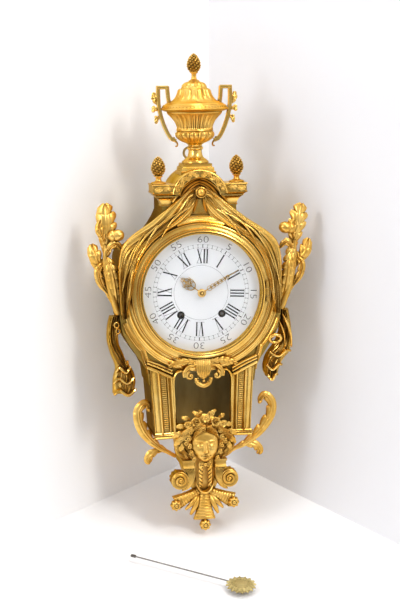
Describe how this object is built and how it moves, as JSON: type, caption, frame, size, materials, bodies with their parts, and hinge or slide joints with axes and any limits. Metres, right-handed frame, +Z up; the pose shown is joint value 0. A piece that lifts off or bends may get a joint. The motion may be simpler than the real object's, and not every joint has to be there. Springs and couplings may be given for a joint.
{
  "type": "cartel clock",
  "caption": "Gilt bronze wall clock of cartel form with urn, arched cornice, swags, leafy branches, enamel dial in a hinged glazed bezel, mask, console and a pendulum that lifts off.",
  "frame": {"origin": "centre of the hanging ring's hole, in the plane of the wall", "axes": "+Z up, +Y into the wall, the dial faces -Y, +X to the right of someone who reads the dial"},
  "size_m": [0.3682, 0.2862, 0.8191],
  "materials": {
    "gilt_bronze": "cast bronze, fire gilt, burnished on the raised mouldings and matt in the ornaments",
    "gilt_case": "sheet and cast brass, gilt, satin",
    "gilt_hand": "pierced and gilt, satin",
    "aged_brass": "aged, olive brown",
    "movement_brass": "polished brass",
    "steel": "polished steel with light rust bloom",
    "enamel": "white vitreous enamel on copper with black numerals",
    "glass": "clear domed glass"
  },
  "bodies": {
    "case": {"back_plate": "aged_brass", "rear_hinge": "aged_brass", "hanging_ring": "aged_brass", "upper_case": "gilt_case", "case_front": "gilt_case", "lower_case": "gilt_case", "pilasters": "gilt_bronze", "lower_sill": "gilt_case", "dial_surround": "gilt_bronze", "arch_cornice": "gilt_bronze", "urn_plinth": "gilt_bronze", "urn_stem": "gilt_bronze", "urn_bowl": "gilt_bronze", "urn_lid": "gilt_bronze", "urn_finial": "gilt_bronze", "urn_handles": "gilt_bronze", "pinecones": "gilt_bronze", "drapery_left": "gilt_bronze", "drapery_right": "gilt_bronze", "drapery_boss": "gilt_bronze", "drape_tail_left": "gilt_bronze", "drape_tail_right": "gilt_bronze", "branch_left": "gilt_bronze", "branch_right": "gilt_bronze", "pendant_ornament": "gilt_bronze", "mask_head": "gilt_bronze", "wreath": "gilt_bronze", "console": "gilt_bronze", "base_fan": "gilt_bronze", "base_flowers": "gilt_bronze", "scroll_left": "gilt_bronze", "scroll_right": "gilt_bronze", "bezel_hinge": "gilt_bronze", "dial": "enamel", "front_movement_plate": "movement_brass", "rear_movement_plate": "movement_brass", "movement_pillars": "movement_brass", "movement_brackets": "movement_brass", "bell": "steel"},
    "bezel_door": {"bezel_ring": "gilt_bronze", "glass": "glass"},
    "rear_door": {"rear_door": "aged_brass"},
    "minute_arbor": {"minute_hand": "gilt_hand", "cannon_pinion": "movement_brass"},
    "hour_pipe": {"hour_hand": "gilt_hand", "hour_wheel": "movement_brass"},
    "motion_wheel": {"minute_wheel": "movement_brass"},
    "centre_train": {"centre_wheel": "movement_brass"},
    "second_train": {"second_wheel": "movement_brass"},
    "third_train": {"third_wheel": "movement_brass"},
    "escape_train": {"escape_wheel": "movement_brass"},
    "going_spring": {"going_barrel": "movement_brass"},
    "strike_spring": {"strike_barrel": "movement_brass", "count_wheel": "movement_brass"},
    "going_winder": {"going_arbor": "steel"},
    "strike_winder": {"strike_arbor": "steel"},
    "crutch_anchor": {"crutch": "steel"},
    "bell_hammer": {"hammer": "steel"},
    "pendulum": {"pendulum_rod": "steel", "pendulum_bob": "aged_brass"}
  },
  "joints": [
    {"name": "bezel_hinge_turn", "type": "hinge", "parent": "case", "child": "bezel_door", "pos_m": [0.1052, -0.1066, -0.219], "axis": [0, 0, 1], "range_deg": [0, 110]},
    {"name": "rear_door_hinge_turn", "type": "hinge", "parent": "case", "child": "rear_door", "pos_m": [0.0772, -0.0055, -0.219], "axis": [0, 0, -1], "range_deg": [0, 110]},
    {"name": "minute_turn", "type": "hinge", "parent": "case", "child": "minute_arbor", "pos_m": [0, -0.09, -0.219], "axis": [0, 1, 0], "continuous": true},
    {"name": "hour_turn", "type": "hinge", "parent": "case", "child": "hour_pipe", "pos_m": [0, -0.09, -0.219], "axis": [0, 1, 0], "continuous": true},
    {"name": "motion_wheel_turn", "type": "hinge", "parent": "case", "child": "motion_wheel", "pos_m": [-0.01147, -0.08, -0.20262], "axis": [0, 1, 0], "continuous": true},
    {"name": "centre_wheel_turn", "type": "hinge", "parent": "case", "child": "centre_train", "pos_m": [0, -0.06, -0.219], "axis": [0, 1, 0], "continuous": true},
    {"name": "second_wheel_turn", "type": "hinge", "parent": "case", "child": "second_train", "pos_m": [-0.02986, -0.06, -0.22522], "axis": [0, 1, 0], "continuous": true},
    {"name": "third_wheel_turn", "type": "hinge", "parent": "case", "child": "third_train", "pos_m": [0.013, -0.06, -0.19648], "axis": [0, 1, 0], "continuous": true},
    {"name": "escape_wheel_turn", "type": "hinge", "parent": "case", "child": "escape_train", "pos_m": [0.01966, -0.06, -0.17869], "axis": [0, 1, 0], "continuous": true},
    {"name": "going_barrel_turn", "type": "hinge", "parent": "case", "child": "going_spring", "pos_m": [-0.0334, -0.06, -0.254], "axis": [0, 1, 0], "continuous": true},
    {"name": "strike_barrel_turn", "type": "hinge", "parent": "case", "child": "strike_spring", "pos_m": [0.0334, -0.06, -0.254], "axis": [0, 1, 0], "continuous": true},
    {"name": "going_winding", "type": "hinge", "parent": "case", "child": "going_winder", "pos_m": [-0.0334, -0.06, -0.254], "axis": [0, -1, 0], "range_deg": [0, 1800]},
    {"name": "strike_winding", "type": "hinge", "parent": "case", "child": "strike_winder", "pos_m": [0.0334, -0.06, -0.254], "axis": [0, -1, 0], "range_deg": [0, 1800]},
    {"name": "crutch_swing", "type": "hinge", "parent": "case", "child": "crutch_anchor", "pos_m": [0, -0.03, -0.175], "axis": [0, 1, 0], "range_deg": [-5, 5]},
    {"name": "hammer_swing", "type": "hinge", "parent": "case", "child": "bell_hammer", "pos_m": [0.052, -0.02, -0.225], "axis": [0, 1, 0], "range_deg": [0, 10], "stiffness_Nm_per_rad": 0.01, "springref_deg": -17.19},
    {"name": "pendulum_lift", "type": "slide", "parent": "case", "child": "pendulum", "axis": [0, 0, 1], "range_m": [0, 0.12]}
  ],
  "couplings": [
    {"joint": "hour_turn", "follows": "minute_turn", "ratio": 0.083333},
    {"joint": "motion_wheel_turn", "follows": "minute_turn", "ratio": -0.33333},
    {"joint": "second_wheel_turn", "follows": "centre_wheel_turn", "ratio": -0.2449},
    {"joint": "going_barrel_turn", "follows": "centre_wheel_turn", "ratio": 0.077922},
    {"joint": "third_wheel_turn", "follows": "centre_wheel_turn", "ratio": -5.5},
    {"joint": "escape_wheel_turn", "follows": "centre_wheel_turn", "ratio": 20.625}
  ]
}
